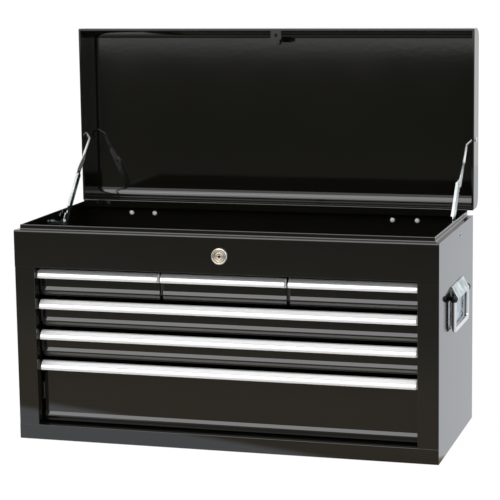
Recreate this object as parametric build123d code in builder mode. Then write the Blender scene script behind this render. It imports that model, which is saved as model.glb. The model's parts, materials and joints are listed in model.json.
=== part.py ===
# Steel tool chest with six drawers under an open till and a hinged lid.
# Millimetres, +Z up, front towards -Y, origin at the centre of the base. The lid is built open.
import os
from math import atan2, cos, degrees, hypot, sin

from build123d import *

os.makedirs("parts", exist_ok=True)

# Chest shell
HALF_WIDTH = 300.0
HALF_DEPTH = 130.0
LEDGE_TOP = 298.0
SHEET = 1.2
LEDGE_WIDTH = 7.0
LIP_RISE = 7.0
REAR_LIP_RISE = 9.5
LIP_THICKNESS = 2.0
LIP_ROUND = 0.9
LIP_BEND = 2.0
EDGE_ROUND = 0.8
LEDGE_ROUND = 2.4
STILE_WIDTH = 29.0
TOP_RAIL_HEIGHT = 52.0
FOOT_RAIL_HEIGHT = 21.0
JAMB_DEPTH = 40.0
LEDGE_HOLE_RADIUS = 1.6
LEDGE_HOLE_INSET = 3.4
LEDGE_HOLE_SETIN = 27.5

# Drawers
ROW_HEIGHT = 43.6
SMALL_PULL_GAP = 1.9
WIDE_PULL_GAP = 3.0
DIVIDER_FOOT_GAP = 2.6
DIVIDER_SETBACK = 6.0
FACE_RECESS = 19.0
FACE_FOOT_GAP = 1.4
DEEP_FOOT_GAP = 3.0
TRAY_SHEET = 1.0
TRAY_FLOOR_GAP = 3.0
WALL_HEAD_GAP = 9.2
TRAY_BACK_GAP = 10.8
BEAD_TOP = 12.6
BEAD_RISE = 2.2
BEAD_SLOPE = 4.7
BEAD_NOSE = 1.6
BEAD_UNDER = 4.1
BEAD_ROUND = 0.8
PULL_TOP_GAP = 4.3
PULL_REACH = 13.0
PULL_SLOPE_START = 6.0
PULL_KNEE = 8.2
PULL_KNEE_ROUND = 6.0
PULL_KNEE_INNER = 0.8
PULL_LEAN = 1.5
PULL_DROP = 11.9
PULL_WALL = 1.6
PULL_LEG = 1.4
PULL_LEG_DROP = 14.0
PULL_SLOPE_INNER = 0.7
PULL_ROUND = 0.8
GROOVE_DROP = 4.4
GROOVE_WIDTH = 0.8
GROOVE_DEPTH = 0.5

# Ball-bearing runners
RUNNER_DEPTH = 12.5
RUNNER_HALF_HEIGHT = 12.0
RUNNER_FLANGE = 9.4
RUNNER_SETBACK = 2.0
RUNNER_SHEET = 1.2
BALL_GAP = 0.5
SLIDE_BACK_GAP = 4.0

# Lid and hinges
LID_GAP = 0.6
LID_DEPTH = 40.0
LID_BEND = 16.0
LID_ROUND = 2.0
RIM_ROUND = 1.2
HEM_HEIGHT = 8.0
HEM_THICKNESS = 3.2
HINGE_RISE = 1.0
HINGE_INSET = 99.25
HINGE_HALF_LENGTH = 28.0
HINGE_LEAF_HEIGHT = 22.0
HINGE_LEAF = 1.8
KNUCKLE_RADIUS = 5.0
KNUCKLE_HALF_LENGTH = 12.0
KNUCKLE_GAP = 0.3
PIN_RADIUS = 2.5
RUNNING_GAP = 0.05
RIVET_HALF_SPACING = 18.25
RIVET_DROP = 10.0
RIVET_RADIUS = 2.0
RIVET_GAP = 0.1
RIVET_HEAD_RADIUS = 3.6
RIVET_HEAD_THICKNESS = 1.5
DOME_THICKNESS = 2.4
DOME_ROUND = 2.3

# Folding lid stays
STAY_REACH = 106.2
STAY_RISE = 13.0
STAY_FOLD = 4.0
WIRE_RADIUS = 1.75
WIRE_CLEARANCE = 0.4
WIRE_FIT = 0.08
WIRE_BEND = 5.0
HOOK_ENTRY = 3.6
HOOK_SLANT = 10.5
HOOK_HEAD_GAP = 0.3
HOOK_HEAD_THICKNESS = 1.3
HOOK_HEAD_RADIUS = 3.6
FERRULE_WALL = 0.2
FERRULE_LENGTH = 9.0
LEAF_THICKNESS = 1.2
LEAF_WIDTH = 12.0
LEAF_LENGTH = 40.0
LEAF_GAP = 0.4
ARM_THICKNESS = 1.2
ARM_WIDTH = 15.0
ARM_FLANGE = 2.5
ARM_FLANGE_LENGTH = 58.0
ARM_FLANGE_START = 24.0
NOTCH_RADIUS = 4.5
NOTCH_ALONG = 16.0
KNUCKLE_RIVET_RADIUS = 4.6
SPOOL_RADIUS = 4.4
SPOOL_GAP = 0.25
STAY_RIVET_RADIUS = 2.8
STAY_RIVET_HEAD_THICKNESS = 1.6
STAY_RIVET_HEAD_RADIUS = 5.2
STAY_RIVET_TAIL_THICKNESS = 0.8
STAY_RIVET_TAIL_RADIUS = 3.4
TAIL_BORE_RADIUS = 1.9
TAIL_BORE_DEPTH = 3.0

# Lock
LOCK_DROP = 27.0
BEZEL_RADIUS = 11.4
BEZEL_REACH = 3.6
BEZEL_ROUND = 1.2
BARREL_RADIUS = 9.0
BARREL_DEPTH = 18.0
LOCK_RING_RADIUS = 8.0
LOCK_RING_DEPTH = 0.9
PLUG_RADIUS = 6.0
PLUG_FACE = 0.5
PLUG_GAP = 0.05
KEYHOLE_RADIUS = 1.7
KEYHOLE_DEPTH = 9.0
KEY_SLOT_HALF_WIDTH = 0.6
KEY_SLOT_REACH = 3.4
CAM_THICKNESS = 2.0
CAM_HALF_WIDTH = 5.5
CAM_LENGTH = 24.0
CAM_FINGER = 7.5
CAM_FINGER_HEIGHT = 5.0
CAM_TAIL_RADIUS = 3.6
CAM_STAND = 0.6
STRIKE_SIDE_GAP = 0.9
STRIKE_FOOT_WIDTH = 7.6
STRIKE_WIDTH = 16.0
STRIKE_THICKNESS = 1.5
STRIKE_BACK = 1.4
STRIKE_FOOT_GAP = 1.0
STRIKE_FOOT_REACH = 5.0
STRIKE_HEM_GAP = 0.4
STRIKE_PAD = 12.0
STRIKE_HOLE_RADIUS = 2.4
STRIKE_HOLE_INSET = 9.2

# Side handles
HANDLE_DROP = 89.0
BAIL_RADIUS = 3.2
BAIL_HALF_LENGTH = 50.0
BAIL_DROP = 43.5
BAIL_BEND = 7.0
ELBOW_SLACK = 0.4
STUB_REACH = 26.0
CAP_WALL = 2.0
CAP_CLEARANCE = 0.3
CAP_SKIRT = 4.0
TUBE_WALL = 1.2
PLATE_END_GAP = 6.0
PLATE_THICKNESS = 1.5
PLATE_ROUND = 5.0
PLATE_BELOW = 41.0
HOOD_RISE = 16.0
HOOD_SHEET = 1.5
HOOD_BRACE = 3.0
PLATE_RIVET_INSET = 10.0
PLATE_RIVET_LOW = 30.0
PLATE_RIVET_HIGH = 12.0

OPEN_ANGLE = 90.0
HALF_SHARE = 0.5
SIDES = {"left": -1, "right": 1}
LOW = (Align.MIN, Align.MIN, Align.MIN)
STANDING = (Align.CENTER, Align.CENTER, Align.MIN)

# Places that several pieces share
INNER_X = HALF_WIDTH - SHEET
INNER_Y = HALF_DEPTH - SHEET
LIP_X = HALF_WIDTH - LEDGE_WIDTH
LIP_Y = HALF_DEPTH - LEDGE_WIDTH
LEDGE_FOOT = LEDGE_TOP - SHEET
LIP_TOP = LEDGE_TOP + LIP_RISE
REAR_LIP_TOP = LEDGE_TOP + REAR_LIP_RISE
OPENING_HALF = HALF_WIDTH - STILE_WIDTH
OPENING_HEAD = LEDGE_TOP - TOP_RAIL_HEIGHT
TILL_FLOOR = OPENING_HEAD + SHEET
JAMB_Y = JAMB_DEPTH - HALF_DEPTH
FACE_Y = FACE_RECESS - HALF_DEPTH
FACE_BACK = FACE_Y + TRAY_SHEET
TRAY_BACK = INNER_Y - TRAY_BACK_GAP
HINGE_Y = HALF_DEPTH + KNUCKLE_RADIUS
HINGE_Z = LEDGE_TOP + HINGE_RISE
HINGE_AXIS = Axis((0, HINGE_Y, HINGE_Z), (1, 0, 0))
HINGE_MIDDLE = HALF_WIDTH - HINGE_INSET
RIVET_Z = LEDGE_TOP - RIVET_DROP
PIVOT_Y = HINGE_Y - STAY_REACH
PIVOT_Z = HINGE_Z - STAY_RISE
HOOK_Y = HINGE_Y + STAY_RISE
HOOK_Z = HINGE_Z + STAY_REACH
LOCK_HEIGHT = LEDGE_TOP - LOCK_DROP
BARREL_BACK = BARREL_DEPTH - HALF_DEPTH
SWING_Z = LEDGE_TOP - HANDLE_DROP
CAP_RADIUS = BAIL_RADIUS + CAP_WALL
SWING_OUT = CAP_RADIUS + CAP_CLEARANCE
PLATE_HALF = BAIL_HALF_LENGTH - PLATE_END_GAP
PLATE_RIVET_Y = PLATE_HALF - PLATE_RIVET_INSET
PLATE_RIVETS = [(y, SWING_Z - drop) for y in (-PLATE_RIVET_Y, PLATE_RIVET_Y)
                for drop in (PLATE_RIVET_LOW, PLATE_RIVET_HIGH)]


def slab(x0, x1, y0, y1, z0, z1, mode=Mode.ADD):
    """A block between two corners."""
    with Locations((min(x0, x1), min(y0, y1), min(z0, z1))):
        Box(abs(x1 - x0), abs(y1 - y0), abs(z1 - z0), align=LOW, mode=mode)


def pin(start, end, radius, mode=Mode.ADD):
    """A round bar from one point to another."""
    along = Vector(*end) - Vector(*start)
    with Locations(Plane(origin=start, z_dir=along)):
        Cylinder(radius, along.length, align=STANDING, mode=mode)


def wire(points, radius, bends):
    """A round wire bent along a line of points."""
    with BuildLine() as route:
        FilletPolyline(*points, radius=bends)
    start = Vector(*points[0])
    with BuildSketch(Plane(origin=start, z_dir=Vector(*points[1]) - start)) as section:
        Circle(radius)
    sweep(section.sketch, path=route.wire())


def profile_x(points, x0, x1, rounded=()):
    """A closed (y, z) outline drawn out along X; rounded pairs some corners with radii."""
    with BuildSketch(Plane.YZ.offset(x0)) as outline:
        with BuildLine():
            Polyline(*points, close=True)
        make_face()
        for corner, radius in rounded:
            fillet(outline.vertices().sort_by_distance(corner)[0], radius)
    extrude(outline.sketch, amount=x1 - x0)


def nearest_edge(part, axis, point):
    """The edge along an axis that passes closest to a point."""
    return part.edges().filter_by(axis).sort_by_distance(point)[0]


def round_lip(part, axis, faces, top):
    """Round the two upper edges of a lip whose faces pass through two points."""
    fillet([nearest_edge(part, axis, (x, y, top)) for x, y in faces], LIP_ROUND)


def lip_foot_x(y, outward, x0, x1):
    """The bend along X where a lip rises from its ledge; outward is its side in Y."""
    far = y + outward * LIP_BEND
    slab(x0, x1, y, far, LEDGE_TOP, LEDGE_TOP + LIP_BEND)
    pin((x0, far, LEDGE_TOP + LIP_BEND), (x1, far, LEDGE_TOP + LIP_BEND), LIP_BEND, Mode.SUBTRACT)


def lip_foot_y(x, outward, y0, y1):
    """The bend along Y where a lip rises from its ledge; outward is its side in X."""
    far = x + outward * LIP_BEND
    slab(x, far, y0, y1, LEDGE_TOP, LEDGE_TOP + LIP_BEND)
    pin((far, y0, LEDGE_TOP + LIP_BEND), (far, y1, LEDGE_TOP + LIP_BEND), LIP_BEND, Mode.SUBTRACT)


def save(part, name):
    """Write one node."""
    part.label = name
    export_step(part, f"parts/{name}.step")


def opened(part):
    """Turn a piece modelled on the closed lid to the open pose."""
    return part.rotate(HINGE_AXIS, -OPEN_ANGLE)


# Side panels with the ledge and the lip that the lid closes over
for side, s in SIDES.items():
    with BuildPart() as side_panel:
        outer_x = s * HALF_WIDTH
        inner_x = s * INNER_X
        slab(inner_x, outer_x, -INNER_Y, INNER_Y, 0, LEDGE_FOOT)
        slab(s * LIP_X, outer_x, -LIP_Y, LIP_Y, LEDGE_FOOT, LEDGE_TOP)
        lip_y = LIP_Y - LIP_THICKNESS
        slab(s * (LIP_X - LIP_THICKNESS), s * LIP_X, -lip_y, lip_y, LEDGE_FOOT, LIP_TOP)
        round_lip(side_panel, Axis.Y, ((s * (LIP_X - LIP_THICKNESS), 0), (s * LIP_X, 0)), LIP_TOP)
        lip_foot_y(s * LIP_X, s, -lip_y, lip_y)
        hole_x = s * (HALF_WIDTH - LEDGE_HOLE_INSET)
        hole_y = HALF_DEPTH - LEDGE_HOLE_SETIN
        pin((hole_x, hole_y, LEDGE_FOOT), (hole_x, hole_y, LEDGE_TOP), LEDGE_HOLE_RADIUS, Mode.SUBTRACT)
        pivot = (PIVOT_Y, PIVOT_Z)
        pin((inner_x, *pivot), (outer_x, *pivot), STAY_RIVET_RADIUS + RIVET_GAP, Mode.SUBTRACT)
        for rivet in PLATE_RIVETS:
            pin((inner_x, *rivet), (outer_x, *rivet), RIVET_RADIUS + RIVET_GAP, Mode.SUBTRACT)
        fillet(nearest_edge(side_panel, Axis.Y, (outer_x, 0, LEDGE_TOP)), EDGE_ROUND)
    save(side_panel.part, f"side_panel_{side}")

# Rear panel
HINGE_RIVETS = [s * HINGE_MIDDLE + offset for s in SIDES.values()
                for offset in (-RIVET_HALF_SPACING, RIVET_HALF_SPACING)]
with BuildPart() as rear_panel:
    slab(-HALF_WIDTH, HALF_WIDTH, INNER_Y, HALF_DEPTH, 0, LEDGE_FOOT)
    slab(-HALF_WIDTH, HALF_WIDTH, LIP_Y, HALF_DEPTH, LEDGE_FOOT, LEDGE_TOP)
    slab(-LIP_X, LIP_X, LIP_Y - LIP_THICKNESS, LIP_Y, LEDGE_FOOT, REAR_LIP_TOP)
    round_lip(rear_panel, Axis.X, ((0, LIP_Y - LIP_THICKNESS), (0, LIP_Y)), REAR_LIP_TOP)
    lip_foot_x(LIP_Y, 1, -LIP_X, LIP_X)
    for x in HINGE_RIVETS:
        pin((x, INNER_Y, RIVET_Z), (x, HALF_DEPTH, RIVET_Z), RIVET_RADIUS + RIVET_GAP, Mode.SUBTRACT)
save(rear_panel.part, "rear_panel")

# Base panel and till floor
with BuildPart() as base_panel:
    slab(-INNER_X, INNER_X, -INNER_Y, INNER_Y, 0, SHEET)
save(base_panel.part, "base_panel")

with BuildPart() as till_floor:
    slab(-INNER_X, INNER_X, -INNER_Y, INNER_Y, TILL_FLOOR, TILL_FLOOR + SHEET)
save(till_floor.part, "till_floor")

# Front frame: top rail with the lock hole, bottom rail and two stiles
with BuildPart() as top_rail:
    slab(-HALF_WIDTH, HALF_WIDTH, -HALF_DEPTH, -INNER_Y, OPENING_HEAD, LEDGE_TOP)
    slab(-OPENING_HALF, OPENING_HALF, -HALF_DEPTH, JAMB_Y, OPENING_HEAD, TILL_FLOOR)
    slab(-HALF_WIDTH, HALF_WIDTH, -HALF_DEPTH, -LIP_Y, LEDGE_FOOT, LEDGE_TOP)
    slab(-LIP_X, LIP_X, -LIP_Y, LIP_THICKNESS - LIP_Y, LEDGE_FOOT, LIP_TOP)
    round_lip(top_rail, Axis.X, ((0, LIP_THICKNESS - LIP_Y), (0, -LIP_Y)), LIP_TOP)
    lip_foot_x(-LIP_Y, -1, -LIP_X, LIP_X)
    pin((0, -HALF_DEPTH, LOCK_HEIGHT), (0, -INNER_Y, LOCK_HEIGHT), BARREL_RADIUS, Mode.SUBTRACT)
    fillet(nearest_edge(top_rail, Axis.X, (0, -HALF_DEPTH, LEDGE_TOP)), LEDGE_ROUND)
    fillet(nearest_edge(top_rail, Axis.X, (0, -HALF_DEPTH, OPENING_HEAD)), EDGE_ROUND)
save(top_rail.part, "top_rail")

with BuildPart() as bottom_rail:
    slab(-HALF_WIDTH, HALF_WIDTH, -HALF_DEPTH, -INNER_Y, 0, FOOT_RAIL_HEIGHT)
    slab(-OPENING_HALF, OPENING_HALF, -HALF_DEPTH, JAMB_Y, FOOT_RAIL_HEIGHT - SHEET, FOOT_RAIL_HEIGHT)
    fillet(nearest_edge(bottom_rail, Axis.X, (0, -HALF_DEPTH, FOOT_RAIL_HEIGHT)), EDGE_ROUND)
save(bottom_rail.part, "bottom_rail")

for side, s in SIDES.items():
    with BuildPart() as stile:
        jamb_x = s * OPENING_HALF
        slab(jamb_x, s * HALF_WIDTH, -HALF_DEPTH, -INNER_Y, FOOT_RAIL_HEIGHT, OPENING_HEAD)
        slab(jamb_x, jamb_x + s * SHEET, -HALF_DEPTH, JAMB_Y, FOOT_RAIL_HEIGHT, OPENING_HEAD)
        for x in (jamb_x, s * HALF_WIDTH):
            fillet(nearest_edge(stile, Axis.Z, (x, -HALF_DEPTH, OPENING_HEAD)), EDGE_ROUND)
    save(stile.part, f"stile_{side}")


def row_head(row):
    """Top of a row of drawers, counted down from the top row."""
    return OPENING_HEAD - row * ROW_HEIGHT


# Dividers between the three top drawers
CELL_COUNT = 3
DIVIDER_COUNT = 2
WIDE_CELL = OPENING_HALF + OPENING_HALF
SMALL_CELL = (WIDE_CELL - DIVIDER_COUNT * SHEET) / CELL_COUNT
CELL_STEP = SMALL_CELL + SHEET
with BuildPart() as drawer_dividers:
    for s in SIDES.values():
        near = s * SMALL_CELL * HALF_SHARE
        far = near + s * SHEET
        foot = OPENING_HEAD - ROW_HEIGHT + DIVIDER_FOOT_GAP
        slab(near, far, FACE_BACK + DIVIDER_SETBACK, INNER_Y, foot, OPENING_HEAD)
        slab(near, far, JAMB_Y, INNER_Y, OPENING_HEAD, TILL_FLOOR)
save(drawer_dividers.part, "drawer_dividers")

# name, row, middle of the cell, cell width, gap at each end of the pull
DRAWERS = (
    ("top_left", 0, -CELL_STEP, SMALL_CELL, SMALL_PULL_GAP),
    ("top_middle", 0, 0, SMALL_CELL, SMALL_PULL_GAP),
    ("top_right", 0, CELL_STEP, SMALL_CELL, SMALL_PULL_GAP),
    ("upper", 1, 0, WIDE_CELL, WIDE_PULL_GAP),
    ("lower", 2, 0, WIDE_CELL, WIDE_PULL_GAP),
    ("deep", 3, 0, WIDE_CELL, WIDE_PULL_GAP),
)
for name, row, middle, cell, pull_gap in DRAWERS:
    deep = name == "deep"
    head = row_head(row)
    foot = FOOT_RAIL_HEIGHT if deep else head - ROW_HEIGHT
    face_foot = foot + (DEEP_FOOT_GAP if deep else FACE_FOOT_GAP)
    floor_z = foot + FACE_FOOT_GAP + TRAY_FLOOR_GAP
    wall_top = head - WALL_HEAD_GAP
    runner_z = (floor_z + wall_top) * HALF_SHARE
    half_cell = cell * HALF_SHARE
    half_tray = half_cell - RUNNER_DEPTH
    half_pull = half_cell - pull_gap
    pull_top = head - PULL_TOP_GAP

    with BuildPart() as tray:
        slab(middle - half_tray, middle + half_tray, FACE_Y, TRAY_BACK, floor_z, wall_top)
        slab(middle - half_tray + TRAY_SHEET, middle + half_tray - TRAY_SHEET, FACE_BACK,
             TRAY_BACK - TRAY_SHEET, floor_z + TRAY_SHEET, wall_top, Mode.SUBTRACT)
        slab(middle - half_pull, middle + half_pull, FACE_Y, FACE_BACK, face_foot, pull_top)
        nose_y = FACE_Y - BEAD_RISE
        bead_z = face_foot + BEAD_TOP
        nose_head = bead_z - BEAD_SLOPE
        nose_foot = nose_head - BEAD_NOSE
        profile_x((
            (FACE_Y, bead_z),
            (nose_y, nose_head),
            (nose_y, nose_foot),
            (FACE_Y, nose_foot - BEAD_UNDER),
        ), middle - half_pull, middle + half_pull, (
            ((nose_y, nose_head), BEAD_ROUND),
            ((nose_y, nose_foot), BEAD_ROUND),
        ))
    save(tray.part, f"{name}_tray")

    with BuildPart() as pull:
        lip_y = FACE_Y - PULL_REACH
        lip_foot = pull_top - PULL_DROP
        slope_y = FACE_Y - PULL_SLOPE_START
        brow_y = lip_y + PULL_LEAN
        groove_z = pull_top - GROOVE_DROP
        brow_z = groove_z - GROOVE_WIDTH
        knee_z = pull_top - PULL_KNEE
        profile_x((
            (FACE_Y, pull_top),
            (slope_y, pull_top),
            (brow_y, groove_z),
            (brow_y + GROOVE_DEPTH, groove_z),
            (brow_y + GROOVE_DEPTH, brow_z),
            (brow_y, brow_z),
            (lip_y, knee_z),
            (lip_y, lip_foot),
            (lip_y + PULL_WALL, lip_foot),
            (lip_y + PULL_WALL, knee_z + PULL_KNEE_INNER),
            (brow_y + PULL_WALL, brow_z),
            (slope_y + PULL_SLOPE_INNER, pull_top - PULL_WALL),
            (FACE_Y - PULL_LEG, pull_top - PULL_WALL),
            (FACE_Y - PULL_LEG, pull_top - PULL_LEG_DROP),
            (FACE_Y, pull_top - PULL_LEG_DROP),
        ), middle - half_pull, middle + half_pull, (
            ((slope_y, pull_top), PULL_ROUND),
            ((lip_y, knee_z), PULL_KNEE_ROUND),
            ((lip_y, lip_foot), PULL_ROUND),
        ))
    save(pull.part, f"{name}_pull")

    low = runner_z - RUNNER_HALF_HEIGHT
    high = runner_z + RUNNER_HALF_HEIGHT
    with BuildPart() as runners:
        for s in SIDES.values():
            wall_x = middle + s * half_cell
            web_x = wall_x - s * RUNNER_SHEET
            tip_x = wall_x - s * RUNNER_FLANGE
            front_y = FACE_BACK + RUNNER_SETBACK
            slab(web_x, wall_x, front_y, INNER_Y, low, high)
            slab(tip_x, wall_x, front_y, INNER_Y, low, low + RUNNER_SHEET)
            slab(tip_x, wall_x, front_y, INNER_Y, high - RUNNER_SHEET, high)
    save(runners.part, f"{name}_runners")

    low = low + RUNNER_SHEET + BALL_GAP
    high = high - RUNNER_SHEET - BALL_GAP
    with BuildPart() as slides:
        for s in SIDES.values():
            side_x = middle + s * half_tray
            web_x = side_x + s * RUNNER_SHEET
            tip_x = middle + s * (half_cell - RUNNER_SHEET - BALL_GAP)
            back_y = TRAY_BACK - SLIDE_BACK_GAP
            slab(side_x, web_x, FACE_BACK, back_y, low, high)
            slab(side_x, tip_x, FACE_BACK, back_y, low, low + RUNNER_SHEET)
            slab(side_x, tip_x, FACE_BACK, back_y, high - RUNNER_SHEET, high)
    save(slides.part, f"{name}_slides")

# Lid pan with broad bends along its front and rear and a hemmed rim, modelled closed
LID_FOOT = LEDGE_TOP + LID_GAP
LID_TOP = LEDGE_TOP + LID_DEPTH
LID_CEILING = LID_TOP - SHEET
HEM_TOP = LID_FOOT + HEM_HEIGHT


def pan(half_x, half_y, foot, top, bend):
    """A block along X whose two upper edges are rounded."""
    corners = ((-half_y, foot), (half_y, foot), (half_y, top), (-half_y, top))
    profile_x(corners, -half_x, half_x, [(corner, bend) for corner in corners[2:]])


with BuildPart() as lid_hollow:
    pan(INNER_X, INNER_Y, HEM_TOP, LID_CEILING, LID_BEND - SHEET)

with BuildPart() as lid_shell:
    pan(HALF_WIDTH, HALF_DEPTH, LID_FOOT, LID_TOP, LID_BEND)
    end_edges = lid_shell.faces().filter_by(Axis.X).edges()
    fillet(end_edges.filter_by(lambda edge: edge.center().Z > HEM_TOP), LID_ROUND)
    fillet(lid_shell.edges().group_by(Axis.Z)[0], RIM_ROUND)
    add(lid_hollow.part, mode=Mode.SUBTRACT)
    hem_x = HALF_WIDTH - HEM_THICKNESS
    hem_y = HALF_DEPTH - HEM_THICKNESS
    slab(-hem_x, hem_x, -hem_y, hem_y, LID_FOOT, HEM_TOP, Mode.SUBTRACT)
    for s in SIDES.values():
        hook = (PIVOT_Y, HINGE_Z + STAY_RISE)
        pin((s * INNER_X, *hook), (s * HALF_WIDTH, *hook), WIRE_RADIUS + WIRE_FIT, Mode.SUBTRACT)
save(opened(lid_shell.part), "lid_shell")

# Butt hinges at the rear edge
LEAF_Y = HALF_DEPTH + HINGE_LEAF
KNUCKLE_ROOM = KNUCKLE_RADIUS + KNUCKLE_GAP
with BuildPart() as hinge_body_leaves:
    for s in SIDES.values():
        centre = s * HINGE_MIDDLE
        half_room = KNUCKLE_HALF_LENGTH + KNUCKLE_GAP
        ends = (centre - HINGE_HALF_LENGTH, centre + HINGE_HALF_LENGTH)
        rooms = (centre - half_room, centre + half_room)
        slab(*ends, HALF_DEPTH, LEAF_Y, HINGE_Z - HINGE_LEAF_HEIGHT, HINGE_Z)
        slab(*rooms, HALF_DEPTH, LEAF_Y, HINGE_Z - KNUCKLE_ROOM, HINGE_Z, Mode.SUBTRACT)
        for end, room in zip(ends, rooms):
            pin((end, HINGE_Y, HINGE_Z), (room, HINGE_Y, HINGE_Z), KNUCKLE_RADIUS)
            pin((end, HINGE_Y, HINGE_Z), (room, HINGE_Y, HINGE_Z), PIN_RADIUS, Mode.SUBTRACT)
    for x in HINGE_RIVETS:
        pin((x, HALF_DEPTH, RIVET_Z), (x, LEAF_Y, RIVET_Z), RIVET_RADIUS + RIVET_GAP, Mode.SUBTRACT)
save(hinge_body_leaves.part, "hinge_body_leaves")

with BuildPart() as hinge_lid_leaves:
    for s in SIDES.values():
        centre = s * HINGE_MIDDLE
        ends = (centre - HINGE_HALF_LENGTH, centre + HINGE_HALF_LENGTH)
        knuckle = (centre - KNUCKLE_HALF_LENGTH, centre + KNUCKLE_HALF_LENGTH)
        slab(*ends, HALF_DEPTH, LEAF_Y, HINGE_Z + KNUCKLE_ROOM, HINGE_Z + HINGE_LEAF_HEIGHT)
        slab(*knuckle, HALF_DEPTH, LEAF_Y, HINGE_Z, HINGE_Z + KNUCKLE_ROOM)
        near = (knuckle[0], HINGE_Y, HINGE_Z)
        far = (knuckle[1], HINGE_Y, HINGE_Z)
        pin(near, far, KNUCKLE_RADIUS)
        pin(near, far, PIN_RADIUS + RUNNING_GAP, Mode.SUBTRACT)
save(opened(hinge_lid_leaves.part), "hinge_lid_leaves")

with BuildPart() as hinge_pins:
    for s in SIDES.values():
        near = (s * HINGE_MIDDLE - HINGE_HALF_LENGTH, HINGE_Y, HINGE_Z)
        far = (s * HINGE_MIDDLE + HINGE_HALF_LENGTH, HINGE_Y, HINGE_Z)
        pin(near, far, PIN_RADIUS)
save(hinge_pins.part, "hinge_pins")

with BuildPart() as hinge_rivets:
    for x in HINGE_RIVETS:
        pin((x, INNER_Y, RIVET_Z), (x, LEAF_Y, RIVET_Z), RIVET_RADIUS)
        pin((x, INNER_Y - DOME_THICKNESS, RIVET_Z), (x, INNER_Y, RIVET_Z), RIVET_HEAD_RADIUS)
        pin((x, LEAF_Y, RIVET_Z), (x, LEAF_Y + DOME_THICKNESS, RIVET_Z), RIVET_HEAD_RADIUS)
    tips = hinge_rivets.edges().filter_by(GeomType.CIRCLE).group_by(Axis.Y)
    fillet(tips[0] + tips[-1], DOME_ROUND)
save(hinge_rivets.part, "hinge_rivets")

# Folding stays. The knuckle lies just in front of the line from the chest pivot to the lid hook.
span_y = HOOK_Y - PIVOT_Y
span_z = HOOK_Z - PIVOT_Z
span = hypot(span_y, span_z)
STAY_LEG = hypot(span * HALF_SHARE, STAY_FOLD)
KNEE_Y = PIVOT_Y + span_y * HALF_SHARE - STAY_FOLD * span_z / span
KNEE_Z = PIVOT_Z + span_z * HALF_SHARE + STAY_FOLD * span_y / span
ARM_TURN = atan2(KNEE_Z - PIVOT_Z, KNEE_Y - PIVOT_Y)
LINK_TURN = atan2(KNEE_Z - HOOK_Z, KNEE_Y - HOOK_Y)
HALF_ARM = ARM_WIDTH * HALF_SHARE
HALF_LEAF = LEAF_WIDTH * HALF_SHARE
WIRE_X = LIP_X - LIP_THICKNESS - WIRE_CLEARANCE - WIRE_RADIUS
LEAF_X = WIRE_X + LEAF_THICKNESS * HALF_SHARE
LEAF_FACE = LEAF_X - LEAF_THICKNESS
ARM_X = LEAF_FACE - LEAF_GAP
ARM_FACE = ARM_X - ARM_THICKNESS


def on_arm(along, aside):
    """A (y, z) point on the lower arm, measured from its pivot and towards its front edge."""
    y = PIVOT_Y + along * cos(ARM_TURN) - aside * sin(ARM_TURN)
    return y, PIVOT_Z + along * sin(ARM_TURN) + aside * cos(ARM_TURN)


def on_link(along, aside):
    """A (y, z) point on the upper link, measured from its hook and towards its rear edge."""
    y = HOOK_Y + along * cos(LINK_TURN) - aside * sin(LINK_TURN)
    return y, HOOK_Z + along * sin(LINK_TURN) + aside * cos(LINK_TURN)


for side, s in SIDES.items():
    with BuildPart() as stay_arm:
        with BuildSketch(Plane.YZ.offset(s * ARM_X)) as plate:
            with Locations(on_arm(STAY_LEG * HALF_SHARE, 0)):
                SlotCenterToCenter(STAY_LEG, ARM_WIDTH, rotation=degrees(ARM_TURN))
            with Locations(on_arm(NOTCH_ALONG, HALF_ARM)):
                Circle(NOTCH_RADIUS, mode=Mode.SUBTRACT)
        extrude(plate.sketch, amount=-s * ARM_THICKNESS)
        flange_end = ARM_FLANGE_START + ARM_FLANGE_LENGTH
        profile_x((
            on_arm(ARM_FLANGE_START, HALF_ARM),
            on_arm(flange_end, HALF_ARM),
            on_arm(flange_end, HALF_ARM - ARM_THICKNESS),
            on_arm(ARM_FLANGE_START, HALF_ARM - ARM_THICKNESS),
        ), s * ARM_X, s * (ARM_FACE - ARM_FLANGE))
        knee = on_arm(STAY_LEG, 0)
        pin((s * ARM_FACE, *knee), (s * (ARM_FACE - STAY_RIVET_HEAD_THICKNESS), *knee), KNUCKLE_RIVET_RADIUS)
        pivot = (PIVOT_Y, PIVOT_Z)
        pin((s * ARM_X, *pivot), (s * ARM_FACE, *pivot), STAY_RIVET_RADIUS + RUNNING_GAP, Mode.SUBTRACT)
    save(stay_arm.part, f"stay_arm_{side}")

    with BuildPart() as stay_link:
        hook = (HOOK_Y, HOOK_Z)
        outside = s * (HALF_WIDTH + HOOK_HEAD_GAP)
        leaf_start = STAY_LEG - LEAF_LENGTH
        wire((
            (outside, *hook),
            (s * (HALF_WIDTH - HOOK_ENTRY), *hook),
            (s * WIRE_X, *on_link(HOOK_SLANT, 0)),
            (s * WIRE_X, *on_link(leaf_start, 0)),
        ), WIRE_RADIUS, WIRE_BEND)
        pin((outside, *hook), (outside + s * HOOK_HEAD_THICKNESS, *hook), HOOK_HEAD_RADIUS)
        ferrule_start = (s * WIRE_X, *on_link(leaf_start - FERRULE_LENGTH, 0))
        pin(ferrule_start, (s * WIRE_X, *on_link(leaf_start, 0)), WIRE_RADIUS + FERRULE_WALL)
        profile_x((
            on_link(leaf_start - FERRULE_LENGTH, 0),
            on_link(leaf_start, HALF_LEAF),
            on_link(STAY_LEG, HALF_LEAF),
            on_link(STAY_LEG + HALF_LEAF, 0),
            on_link(STAY_LEG, -HALF_LEAF),
            on_link(STAY_LEG - LEAF_WIDTH, -HALF_LEAF),
        ), s * LEAF_FACE, s * LEAF_X)
    save(stay_link.part, f"stay_link_{side}")

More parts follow.
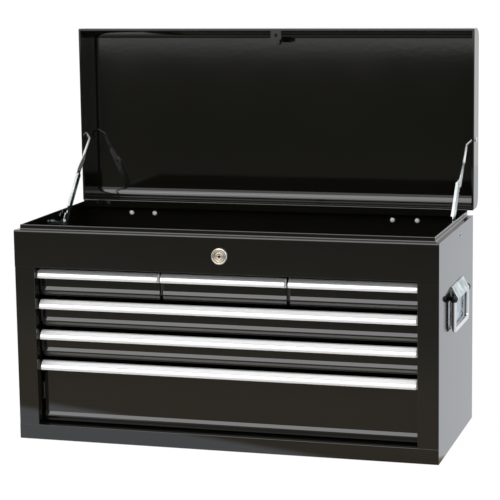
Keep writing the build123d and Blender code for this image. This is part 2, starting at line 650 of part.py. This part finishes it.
with BuildPart() as stay_rivets:
    for s in SIDES.values():
        pivot = (PIVOT_Y, PIVOT_Z)
        outer_x = s * HALF_WIDTH
        head_x = s * (ARM_FACE - SPOOL_GAP)
        pin((outer_x, *pivot), (head_x, *pivot), STAY_RIVET_RADIUS)
        pin((s * INNER_X, *pivot), (s * (ARM_X + SPOOL_GAP), *pivot), SPOOL_RADIUS)
        pin((head_x, *pivot), (head_x - s * STAY_RIVET_HEAD_THICKNESS, *pivot), STAY_RIVET_HEAD_RADIUS)
        tail_x = outer_x + s * STAY_RIVET_TAIL_THICKNESS
        pin((outer_x, *pivot), (tail_x, *pivot), STAY_RIVET_TAIL_RADIUS)
        pin((tail_x, *pivot), (tail_x - s * TAIL_BORE_DEPTH, *pivot), TAIL_BORE_RADIUS, Mode.SUBTRACT)
save(stay_rivets.part, "stay_rivets")


# Lock in the top rail
def lock_pin(y0, y1, radius, mode=Mode.ADD):
    """A round bar on the lock's axis."""
    pin((0, y0, LOCK_HEIGHT), (0, y1, LOCK_HEIGHT), radius, mode)


BEZEL_Y = -HALF_DEPTH - BEZEL_REACH
RING_Y = BEZEL_Y + LOCK_RING_DEPTH
PLUG_Y = RING_Y + PLUG_FACE
with BuildPart() as lock_barrel:
    lock_pin(BEZEL_Y, -HALF_DEPTH, BEZEL_RADIUS)
    fillet(lock_barrel.edges().filter_by(GeomType.CIRCLE).group_by(Axis.Y)[0], BEZEL_ROUND)
    lock_pin(BEZEL_Y, RING_Y, LOCK_RING_RADIUS, Mode.SUBTRACT)
    lock_pin(-HALF_DEPTH, BARREL_BACK, BARREL_RADIUS)
    lock_pin(BEZEL_Y, BARREL_BACK, PLUG_RADIUS + PLUG_GAP, Mode.SUBTRACT)
save(lock_barrel.part, "lock_barrel")

CAM_Y = BARREL_BACK + CAM_STAND
CAM_BACK = CAM_Y + CAM_THICKNESS
with BuildPart() as lock_plug:
    lock_pin(PLUG_Y, CAM_Y, PLUG_RADIUS)
    lock_pin(CAM_Y, CAM_BACK, CAM_TAIL_RADIUS)
    lock_pin(PLUG_Y, PLUG_Y + KEYHOLE_DEPTH, KEYHOLE_RADIUS, Mode.SUBTRACT)
    slab(-KEY_SLOT_HALF_WIDTH, KEY_SLOT_HALF_WIDTH, PLUG_Y, PLUG_Y + KEYHOLE_DEPTH,
         LOCK_HEIGHT, LOCK_HEIGHT + KEY_SLOT_REACH, Mode.SUBTRACT)
save(lock_plug.part, "lock_plug")

# Hooked cam, turned down at rest: a blade to the left with a finger on its upper edge
with BuildPart() as lock_cam:
    slab(-CAM_LENGTH, CAM_HALF_WIDTH, CAM_Y, CAM_BACK,
         LOCK_HEIGHT - CAM_HALF_WIDTH, LOCK_HEIGHT + CAM_HALF_WIDTH)
    slab(-CAM_LENGTH, CAM_FINGER_HEIGHT - CAM_LENGTH, CAM_Y, CAM_BACK,
         LOCK_HEIGHT, LOCK_HEIGHT + CAM_HALF_WIDTH + CAM_FINGER)
    lock_pin(CAM_Y, CAM_BACK, CAM_TAIL_RADIUS, Mode.SUBTRACT)
    fillet(lock_cam.edges().filter_by(Axis.Y).filter_by(GeomType.LINE), EDGE_ROUND)
save(lock_cam.part, "lock_cam")

# Strike on the lid's front skirt: a bracket whose foot the raised finger holds down
with BuildPart() as lock_strike:
    tongue_y = CAM_BACK + STRIKE_BACK
    tongue_back = tongue_y + STRIKE_THICKNESS
    leg_z = HEM_TOP + STRIKE_HEM_GAP
    foot_z = LOCK_HEIGHT + CAM_LENGTH - CAM_FINGER_HEIGHT - STRIKE_FOOT_GAP
    foot_x = CAM_HALF_WIDTH + STRIKE_SIDE_GAP
    right_x = foot_x + STRIKE_FOOT_WIDTH
    sides = (right_x - STRIKE_WIDTH, right_x)
    hole_x = right_x - STRIKE_WIDTH * HALF_SHARE
    hole_y = STRIKE_HOLE_INSET - INNER_Y
    slab(*sides, -INNER_Y, STRIKE_THICKNESS - INNER_Y, leg_z, leg_z + STRIKE_PAD)
    slab(*sides, -INNER_Y, tongue_back, leg_z, leg_z + STRIKE_THICKNESS)
    slab(*sides, tongue_y, tongue_back, foot_z - STRIKE_THICKNESS, leg_z)
    slab(foot_x, right_x, tongue_y - STRIKE_FOOT_REACH, tongue_y, foot_z - STRIKE_THICKNESS, foot_z)
    hole_top = (hole_x, hole_y, leg_z + STRIKE_THICKNESS)
    pin((hole_x, hole_y, leg_z), hole_top, STRIKE_HOLE_RADIUS, Mode.SUBTRACT)
save(opened(lock_strike.part), "lock_strike")

# Side handles: plate whose hood is rolled into a tube, and a bail that hangs in the tube
PLATE_HEAD = SWING_Z + HOOD_RISE
TUBE_RADIUS = BAIL_RADIUS + TUBE_WALL
HOOD_OUT = SWING_OUT + TUBE_RADIUS
BAIL_FOOT = SWING_Z - BAIL_DROP
ELBOW_BEND = BAIL_RADIUS + ELBOW_SLACK
STUB_END = BAIL_HALF_LENGTH - STUB_REACH
for side, s in SIDES.items():
    wall_x = s * HALF_WIDTH
    plate_x = wall_x + s * PLATE_THICKNESS
    swing_x = wall_x + s * SWING_OUT
    hood_x = wall_x + s * HOOD_OUT
    with BuildPart() as handle_plate:
        slab(wall_x, plate_x, -PLATE_HALF, PLATE_HALF, SWING_Z - PLATE_BELOW, PLATE_HEAD)
        fillet(handle_plate.edges().filter_by(Axis.X).group_by(Axis.Z)[0], PLATE_ROUND)
        with BuildSketch(Plane.XZ.offset(-PLATE_HALF)) as hood:
            with BuildLine():
                Polyline((wall_x, PLATE_HEAD), (plate_x, PLATE_HEAD), (hood_x, SWING_Z),
                         (hood_x - s * HOOD_SHEET, SWING_Z), (wall_x, PLATE_HEAD - HOOD_BRACE), close=True)
            make_face()
        extrude(hood.sketch, amount=PLATE_HALF + PLATE_HALF)
        near = (swing_x, -PLATE_HALF, SWING_Z)
        far = (swing_x, PLATE_HALF, SWING_Z)
        pin(near, far, TUBE_RADIUS)
        pin(near, far, BAIL_RADIUS + RUNNING_GAP, Mode.SUBTRACT)
        for rivet in PLATE_RIVETS:
            pin((wall_x, *rivet), (plate_x, *rivet), RIVET_RADIUS + RIVET_GAP, Mode.SUBTRACT)
    save(handle_plate.part, f"handle_plate_{side}")

    with BuildPart() as handle_bail:
        wire((
            (swing_x, -STUB_END, SWING_Z),
            (swing_x, -BAIL_HALF_LENGTH, SWING_Z),
            (swing_x, -BAIL_HALF_LENGTH, BAIL_FOOT),
            (swing_x, BAIL_HALF_LENGTH, BAIL_FOOT),
            (swing_x, BAIL_HALF_LENGTH, SWING_Z),
            (swing_x, STUB_END, SWING_Z),
        ), BAIL_RADIUS, (ELBOW_BEND, BAIL_BEND, BAIL_BEND, ELBOW_BEND))
    save(handle_bail.part, f"handle_bail_{side}")

    with BuildPart() as bail_caps:
        with Locations((swing_x, -BAIL_HALF_LENGTH, SWING_Z), (swing_x, BAIL_HALF_LENGTH, SWING_Z)):
            Sphere(CAP_RADIUS)
        cut_y = BAIL_HALF_LENGTH + CAP_RADIUS
        slab(swing_x - CAP_RADIUS, swing_x + CAP_RADIUS, -cut_y, cut_y,
             SWING_Z - CAP_RADIUS, SWING_Z - CAP_SKIRT, Mode.SUBTRACT)
        add(handle_bail.part, mode=Mode.SUBTRACT)
    save(bail_caps.part, f"bail_caps_{side}")

with BuildPart() as handle_rivets:
    for s in SIDES.values():
        plate_x = s * (HALF_WIDTH + PLATE_THICKNESS)
        inner_x = s * INNER_X
        for rivet in PLATE_RIVETS:
            pin((inner_x, *rivet), (plate_x, *rivet), RIVET_RADIUS)
            pin((plate_x, *rivet), (plate_x + s * RIVET_HEAD_THICKNESS, *rivet), RIVET_HEAD_RADIUS)
            pin((inner_x, *rivet), (inner_x - s * RIVET_HEAD_THICKNESS, *rivet), RIVET_HEAD_RADIUS)
save(handle_rivets.part, "handle_rivets")
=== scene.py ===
# Black enamelled tool chest with its lid open: finishes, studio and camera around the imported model.
import json
import math

import bpy
from mathutils import Matrix, Vector

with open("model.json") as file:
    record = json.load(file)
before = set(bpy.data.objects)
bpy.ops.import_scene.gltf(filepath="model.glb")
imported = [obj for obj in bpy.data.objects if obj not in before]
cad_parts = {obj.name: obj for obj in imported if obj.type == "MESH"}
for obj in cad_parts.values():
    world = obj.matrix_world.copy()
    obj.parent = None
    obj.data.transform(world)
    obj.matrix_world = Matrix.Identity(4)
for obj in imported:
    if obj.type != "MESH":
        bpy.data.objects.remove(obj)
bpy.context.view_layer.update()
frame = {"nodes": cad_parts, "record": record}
nodes = frame["nodes"]


class Signal:
    """A shader socket that takes part in Python sums."""

    def __init__(self, tree, socket):
        self.tree = tree
        self.socket = socket

    def maths(self, operation, first, second):
        sheet = Sheet(self.tree)
        return sheet.node("ShaderNodeMath", {"operation": operation}, {0: first, 1: second})

    def __add__(self, other):
        return self.maths("ADD", self, other)

    def __radd__(self, other):
        return self.maths("ADD", other, self)

    def __sub__(self, other):
        return self.maths("SUBTRACT", self, other)

    def __rsub__(self, other):
        return self.maths("SUBTRACT", other, self)

    def __mul__(self, other):
        return self.maths("MULTIPLY", self, other)

    def __rmul__(self, other):
        return self.maths("MULTIPLY", other, self)

    def __pow__(self, other):
        return self.maths("POWER", self, other)


class Sheet:
    """A node tree that finishes are written on."""

    def __init__(self, tree):
        self.tree = tree

    def node(self, kind, settings=None, sockets=None, out=0):
        """Adds a node: its settings first, then values or links for its sockets."""
        made = self.tree.nodes.new(kind)
        for name, value in (settings or {}).items():
            if name == "stops":
                ramp = made.color_ramp
                while len(ramp.elements) < len(value):
                    ramp.elements.new(1.0)
                for element, (place, colour) in zip(ramp.elements, value):
                    element.position = place
                    element.color = colour
            else:
                setattr(made, name, value)
        for name, value in (sockets or {}).items():
            if isinstance(value, Signal):
                self.tree.links.new(value.socket, made.inputs[name])
            else:
                made.inputs[name].default_value = value
        return Signal(self.tree, made.outputs[out]) if made.outputs else None

    def axis(self, name):
        """One of the object coordinates, in metres."""
        where = self.node("ShaderNodeTexCoord", out="Object")
        return self.node("ShaderNodeSeparateXYZ", {}, {0: where}, out=name)

    def noise(self, scale, detail=2.0, stretch=(1.0, 1.0, 1.0)):
        """Noise over the object coordinates, stretched."""
        where = self.node("ShaderNodeTexCoord", out="Object")
        where = self.node("ShaderNodeMapping", {}, {"Vector": where, "Scale": stretch})
        sockets = {"Vector": where, "Scale": scale, "Detail": detail}
        return self.node("ShaderNodeTexNoise", {}, sockets)

    def between(self, low, high, value):
        """A value spread evenly from 0 at low to 1 at high."""
        span = {"Value": value, "From Min": low, "From Max": high}
        return self.node("ShaderNodeMapRange", {"clamp": True}, span)

    def blend(self, share, first, second):
        """A mix of two colours."""
        sockets = {0: share, 6: first, 7: second}
        return self.node("ShaderNodeMix", {"data_type": "RGBA"}, sockets, out=2)

    def bump(self, height, distance, strength):
        """A normal that follows a height."""
        sockets = {"Height": height, "Distance": distance, "Strength": strength}
        return self.node("ShaderNodeBump", {}, sockets)

    def ray(self, kind):
        """One for rays of this kind, 0 for others."""
        return self.node("ShaderNodeLightPath", out=f"Is {kind} Ray")

    def shown(self):
        """One where the eye meets the stage, be it straight, in a reflection or through glass."""
        rays = self.ray("Camera") + self.ray("Glossy") + self.ray("Transmission")
        return self.node("ShaderNodeMath", {"operation": "MINIMUM"}, {0: rays, 1: 1.0})


def new_finish(name):
    """An empty material and its sheet."""
    material = bpy.data.materials.new(name)
    material.use_nodes = True
    material.node_tree.nodes.clear()
    return material, Sheet(material.node_tree)


def close_finish(sheet, sockets):
    """Ends a finish in one surface shader."""
    shader = sheet.node("ShaderNodeBsdfPrincipled", {}, sockets)
    sheet.node("ShaderNodeOutputMaterial", {}, {"Surface": shader})


GRAIN_DEPTH = 0.00003

ENAMEL_BLACK = (0.0046, 0.0043, 0.0032, 1.0)
ENAMEL_CLOUD = 1.35
ENAMEL_IOR = 1.65
PEEL_DEPTH = 0.00004


def gloss_enamel():
    """Stoved enamel: near-black and mirror-like, with a faint orange peel and cloudier patches."""
    material, sheet = new_finish("black_enamel")
    cloud = sheet.noise(9.0, 3.0)
    skin = sheet.noise(160.0)
    cloudy = [c * ENAMEL_CLOUD for c in ENAMEL_BLACK[:3]] + [1.0]
    close_finish(sheet, {
        "Base Color": sheet.blend(cloud, ENAMEL_BLACK, cloudy),
        "Roughness": 0.045 + 0.04 * cloud,
        "IOR": ENAMEL_IOR,
        "Normal": sheet.bump(skin, PEEL_DEPTH, 0.25),
    })
    return material


PULL_PALE = (0.92, 0.92, 0.925, 1.0)
PULL_BRIGHT = (0.95, 0.95, 0.955, 1.0)
BRUSHED_ALONG_X = (6.0, 1500.0, 1500.0)


def brushed_aluminium():
    """Pulls: satin anodised extrusion, brushed along its length."""
    material, sheet = new_finish("brushed_aluminium")
    streak = sheet.noise(1.0, 4.0, BRUSHED_ALONG_X)
    tone = sheet.noise(5.0)
    close_finish(sheet, {
        "Base Color": sheet.blend(streak, PULL_PALE, PULL_BRIGHT),
        "Metallic": 0.55,
        "Roughness": 0.31 + 0.04 * streak + 0.03 * tone,
        "Normal": sheet.bump(streak, GRAIN_DEPTH, 0.03),
    })
    return material


def zinc_plating(name, bright, dull, roughness, metallic=1.0):
    """Zinc-plated steel: bright, with duller patches and a fine grain."""
    material, sheet = new_finish(name)
    patch = sheet.between(0.35, 0.68, sheet.noise(55.0, 3.0))
    grain = sheet.noise(1400.0)
    close_finish(sheet, {
        "Base Color": sheet.blend(patch, bright, dull),
        "Metallic": metallic,
        "Roughness": roughness + 0.14 * patch + 0.05 * grain,
        "Normal": sheet.bump(grain, GRAIN_DEPTH, 0.3),
    })
    return material


CHROME_SHADE = (0.60, 0.62, 0.64, 1.0)
CHROME_BRIGHT = (0.76, 0.77, 0.78, 1.0)
SWIRLS_UPRIGHT = (1.0, 1.0, 0.2)


def polished_chrome():
    """Bails: bright chrome with a few soft swirls."""
    material, sheet = new_finish("polished_chrome")
    swirl = sheet.noise(140.0, 3.0, SWIRLS_UPRIGHT)
    close_finish(sheet, {
        "Base Color": sheet.blend(swirl, CHROME_SHADE, CHROME_BRIGHT),
        "Metallic": 1.0,
        "Roughness": 0.07 + 0.08 * swirl,
    })
    return material


LOCK_HEIGHT = 0.271
BRASS_INNER = 0.0062
BRASS_OUTER = 0.0088
INNER_BLUR = 0.0002
OUTER_BLUR = 0.0004
PLUG_FACE = -0.1322
# Painted shade inside the keyhole: from just past the plug's face, and within the keyhole's reach,
# the colour turns black.
KEYHOLE_START = 0.0002
KEYHOLE_SHADE_FULL = 0.0008
KEYHOLE_REACH = 0.0042
TURNED_STEP = 0.0029
NICKEL = (0.84, 0.78, 0.71, 1.0)
BRASS = (0.72, 0.62, 0.48, 1.0)
KEYHOLE_PAINTED_SHADE = (0.004, 0.004, 0.004, 1.0)


def lock_nickel():
    """Lock face: turned nickel with a warmer ring round the plug, and painted shade inside the
    keyhole.
    """
    material, sheet = new_finish("lock_nickel")
    across = sheet.axis("X")
    depth = sheet.axis("Y")
    height = sheet.axis("Z") - LOCK_HEIGHT
    radius = (across * across + height * height) ** 0.5
    beyond = sheet.between(BRASS_OUTER - OUTER_BLUR, BRASS_OUTER, radius)
    ring = sheet.between(BRASS_INNER - INNER_BLUR, BRASS_INNER, radius) * (1.0 - beyond)
    # Painted shade: past the plug's face and inside the keyhole, the colour goes black and the
    # surface stops being metallic.
    sunk = sheet.between(PLUG_FACE + KEYHOLE_START, PLUG_FACE + KEYHOLE_SHADE_FULL, depth)
    outside = sheet.between(KEYHOLE_REACH, KEYHOLE_REACH + INNER_BLUR, radius)
    keyhole_painted_shade = sunk * (1.0 - outside)
    half_step = {0: radius, 1: TURNED_STEP * 0.5}
    turning = sheet.node("ShaderNodeMath", {"operation": "PINGPONG"}, half_step)
    scuff = sheet.noise(2400.0)
    close_finish(sheet, {
        "Base Color": sheet.blend(keyhole_painted_shade, sheet.blend(ring, NICKEL, BRASS), KEYHOLE_PAINTED_SHADE),
        "Metallic": 1.0 - keyhole_painted_shade,
        "Roughness": 0.20 + 0.10 * scuff,
        "Normal": sheet.bump(turning, 1.0, 0.3),
    })
    return material


RIVET_PALE = (0.80, 0.80, 0.80, 1.0)
RIVET_BRIGHT = (0.92, 0.92, 0.92, 1.0)


def rivet_aluminium():
    """Hinge rivets in the till: pale domes, a little scuffed."""
    material, sheet = new_finish("rivet_aluminium")
    scuff = sheet.noise(700.0)
    close_finish(sheet, {
        "Base Color": sheet.blend(scuff, RIVET_PALE, RIVET_BRIGHT),
        "Metallic": 0.25,
        "Roughness": 0.34 + 0.12 * scuff,
    })
    return material


RUNNER_DARK = (0.11, 0.11, 0.115, 1.0)
RUNNER_WORN = (0.17, 0.17, 0.175, 1.0)
ROLLED_ALONG_Y = (900.0, 8.0, 900.0)


def runner_steel():
    """Runners: blackened rolled steel, streaked along the drawer's travel."""
    material, sheet = new_finish("runner_steel")
    streak = sheet.noise(1.0, 3.0, ROLLED_ALONG_Y)
    close_finish(sheet, {
        "Base Color": sheet.blend(streak, RUNNER_DARK, RUNNER_WORN),
        "Metallic": 0.8,
        "Roughness": 0.36 + 0.16 * streak,
    })
    return material


CAP_BLACK = (0.004, 0.004, 0.004, 1.0)
CAP_GRAIN = (0.007, 0.007, 0.007, 1.0)


def cap_plastic():
    """Bail caps: moulded black plastic."""
    material, sheet = new_finish("cap_plastic")
    grain = sheet.noise(1600.0)
    close_finish(sheet, {
        "Base Color": sheet.blend(grain, CAP_BLACK, CAP_GRAIN),
        "Roughness": 0.14 + 0.08 * grain,
        "Specular IOR Level": 0.3,
        "Normal": sheet.bump(grain, GRAIN_DEPTH, 0.2),
    })
    return material


ZINC_BRIGHT = (0.74, 0.78, 0.79, 1.0)
ZINC_DULL = (0.30, 0.40, 0.44, 1.0)
WIRE_BRIGHT = (0.88, 0.90, 0.89, 1.0)
WIRE_DULL = (0.76, 0.80, 0.79, 1.0)
ARM_BRIGHT = (0.76, 0.79, 0.78, 1.0)
ARM_DULL = (0.40, 0.45, 0.45, 1.0)

FINISHES = {
    "black_paint": gloss_enamel(),
    "pull_aluminium": brushed_aluminium(),
    "runner_steel": runner_steel(),
    "zinc_plate": zinc_plating("zinc_plating", ZINC_BRIGHT, ZINC_DULL, 0.16),
    "bail_chrome": polished_chrome(),
    "lock_nickel": lock_nickel(),
    "rivet_aluminium": rivet_aluminium(),
    "cap_plastic": cap_plastic(),
}
STAY_FINISHES = {
    "stay_link": zinc_plating("stay_wire", WIRE_BRIGHT, WIRE_DULL, 0.20, 0.8),
    "stay_arm": zinc_plating("stay_arm_zinc", ARM_BRIGHT, ARM_DULL, 0.18),
}


def finish_of(subpart):
    """The stays' halves have finishes of their own, and every other piece follows its slot."""
    for start, finish in STAY_FINISHES.items():
        if subpart["node"].startswith(start):
            return finish
    return FINISHES[subpart["material_slot"]]


def wear(piece, material):
    """Gives a piece one material."""
    piece.data.materials.clear()
    piece.data.materials.append(material)


for subpart in frame["record"]["subparts"]:
    wear(nodes[subpart["node"]], finish_of(subpart))


# The floor is white paper under, behind and beside the chest.
# In front of the paper's edge, reflections show a dim warm floor.
PAPER_EDGE = -0.168
PAPER_SKEW = -0.32
PAPER_WING = 1.1
WING_START = 0.3
WING_FULL = 0.9
PAPER_WHITE = (0.92, 0.92, 0.92, 1.0)
PAPER_GLOW = (1.03, 1.03, 1.03, 1.0)
PAPER_SHARE = 0.93
BACKDROP_WHITE = (0.86, 0.86, 0.86, 1.0)
ROOM_REACH = 3.0
ROOM_FLOOR = [
    (0.0, (0.92, 0.95, 1.0, 1.0)),
    (0.008, (0.32, 0.25, 0.18, 1.0)),
    (0.14, (0.28, 0.24, 0.175, 1.0)),
    (0.27, (0.125, 0.118, 0.09, 1.0)),
    (0.6, (0.035, 0.032, 0.016, 1.0)),
    (1.0, (0.024, 0.024, 0.010, 1.0)),
]
ROOM_ASIDE = (0.55, 0.55, 0.55, 1.0)
ASIDE_START = 0.32
ASIDE_FULL = 0.8
ASIDE_EDGE = 0.01


def room_colour(sheet):
    """What reflections show of the floor."""
    across = sheet.axis("X")
    wing = PAPER_WING * sheet.between(WING_START, WING_FULL, across)
    past_edge = PAPER_EDGE - PAPER_SKEW * across - wing - sheet.axis("Y")
    ahead = sheet.between(0.0, ROOM_REACH, past_edge)
    room = sheet.node("ShaderNodeValToRGB", {"stops": ROOM_FLOOR}, {0: ahead})
    aside = sheet.between(ASIDE_START, ASIDE_FULL, across)
    aside = aside * sheet.between(0.0, ASIDE_EDGE, ahead)
    return sheet.blend(aside, room, ROOM_ASIDE)


def studio_white(name, colour, share, dim_front):
    """Pale floor and backdrop: white to the eye, and matte by the rest of the share."""
    material, sheet = new_finish(name)
    glow_colour = PAPER_GLOW
    if dim_front:
        glow_colour = sheet.blend(sheet.ray("Camera"), room_colour(sheet), PAPER_GLOW)
    matte = sheet.node("ShaderNodeBsdfDiffuse", {}, {"Color": colour})
    glow = sheet.node("ShaderNodeEmission", {}, {"Color": glow_colour, "Strength": 1.0})
    mixed = sheet.node("ShaderNodeMixShader", {}, {0: sheet.shown() * share, 1: matte, 2: glow})
    sheet.node("ShaderNodeOutputMaterial", {}, {"Surface": mixed})
    return material


def stage_sheet(name, corners, material):
    """A flat stage piece from four corners."""
    mesh = bpy.data.meshes.new(name)
    mesh.from_pydata(corners, [], [(0, 1, 2, 3)])
    piece = bpy.data.objects.new(name, mesh)
    bpy.context.scene.collection.objects.link(piece)
    wear(piece, material)


FLOOR_FRONT = -9.0
FLOOR_BACK = 3.2
FLOOR_SIDE = 6.0
FLOOR_DROP = -0.0004
BACKDROP_TOP = 3.0
front_edge = [(-FLOOR_SIDE, FLOOR_FRONT, FLOOR_DROP), (FLOOR_SIDE, FLOOR_FRONT, FLOOR_DROP)]
back_edge = [(FLOOR_SIDE, FLOOR_BACK, FLOOR_DROP), (-FLOOR_SIDE, FLOOR_BACK, FLOOR_DROP)]
top_edge = [(FLOOR_SIDE, FLOOR_BACK, BACKDROP_TOP), (-FLOOR_SIDE, FLOOR_BACK, BACKDROP_TOP)]
stage_sheet("floor", front_edge + back_edge,
            studio_white("white_paper", PAPER_WHITE, PAPER_SHARE, True))
stage_sheet("backdrop", back_edge[::-1] + top_edge,
            studio_white("white_backdrop", BACKDROP_WHITE, 1.0, False))


def softbox(name, where, towards, width, height, power):
    """An area lamp that faces a point."""
    lamp = bpy.data.lights.new(name, "AREA")
    lamp.shape = "RECTANGLE"
    lamp.size = width
    lamp.size_y = height
    lamp.energy = power
    piece = bpy.data.objects.new(name, lamp)
    bpy.context.scene.collection.objects.link(piece)
    aim = (Vector(towards) - Vector(where)).to_track_quat("-Z", "Y")
    piece.matrix_world = Matrix.Translation(where) @ aim.to_matrix().to_4x4()


CHEST_MIDDLE = (0.0, 0.0, 0.25)
FLOOR_AHEAD = (0.0, -1.4, 0.0)
softbox("front_softbox", (-0.9, -2.2, 1.9), CHEST_MIDDLE, 1.8, 1.2, 15.5)
softbox("right_softbox", (2.4, -0.6, 1.5), CHEST_MIDDLE, 1.4, 1.4, 9.0)
softbox("top_softbox", (0.0, -1.4, 2.4), FLOOR_AHEAD, 2.6, 1.6, 25.0)

ROOM_GREY = (0.66, 0.67, 0.68, 1.0)
ROOM_WHITE = (1.0, 1.0, 1.0, 1.0)
world = bpy.data.worlds.new("studio")
bpy.context.scene.world = world
world.use_nodes = True
world.node_tree.nodes.clear()
air = Sheet(world.node_tree)
grey = air.node("ShaderNodeBackground", {}, {"Color": ROOM_GREY, "Strength": 1.0})
white = air.node("ShaderNodeBackground", {}, {"Color": ROOM_WHITE, "Strength": 1.0})
sky = air.node("ShaderNodeMixShader", {}, {0: air.shown(), 1: grey, 2: white})
air.node("ShaderNodeOutputWorld", {}, {"Surface": sky})

# The camera, fitted to the corners of the chest in the photograph
EYE = (0.74652, -2.50418, 0.68875)
YAW = -0.28812
PITCH = -0.16317
ROLL = -0.01401
FOCAL_PIXELS = 1870.13
FRAME_PIXELS = 500.0
SENSOR = 36.0
CLIP_END = 60.0
level_ahead = Vector((math.sin(YAW), math.cos(YAW), 0.0))
forward = level_ahead * math.cos(PITCH) + Vector((0.0, 0.0, math.sin(PITCH)))
level = Vector((math.cos(YAW), -math.sin(YAW), 0.0))
upright = level.cross(forward)
right = level * math.cos(ROLL) + upright * math.sin(ROLL)
up = upright * math.cos(ROLL) - level * math.sin(ROLL)
lens = bpy.data.cameras.new("camera")
lens.sensor_fit = "HORIZONTAL"
lens.sensor_width = SENSOR
lens.lens = FOCAL_PIXELS / FRAME_PIXELS * SENSOR
lens.clip_end = CLIP_END
camera = bpy.data.objects.new("camera", lens)
bpy.context.scene.collection.objects.link(camera)
turn = Matrix((right, up, -forward)).transposed().to_4x4()
camera.matrix_world = Matrix.Translation(EYE) @ turn
bpy.context.scene.camera = camera

bpy.context.scene.view_settings.view_transform = "Standard"
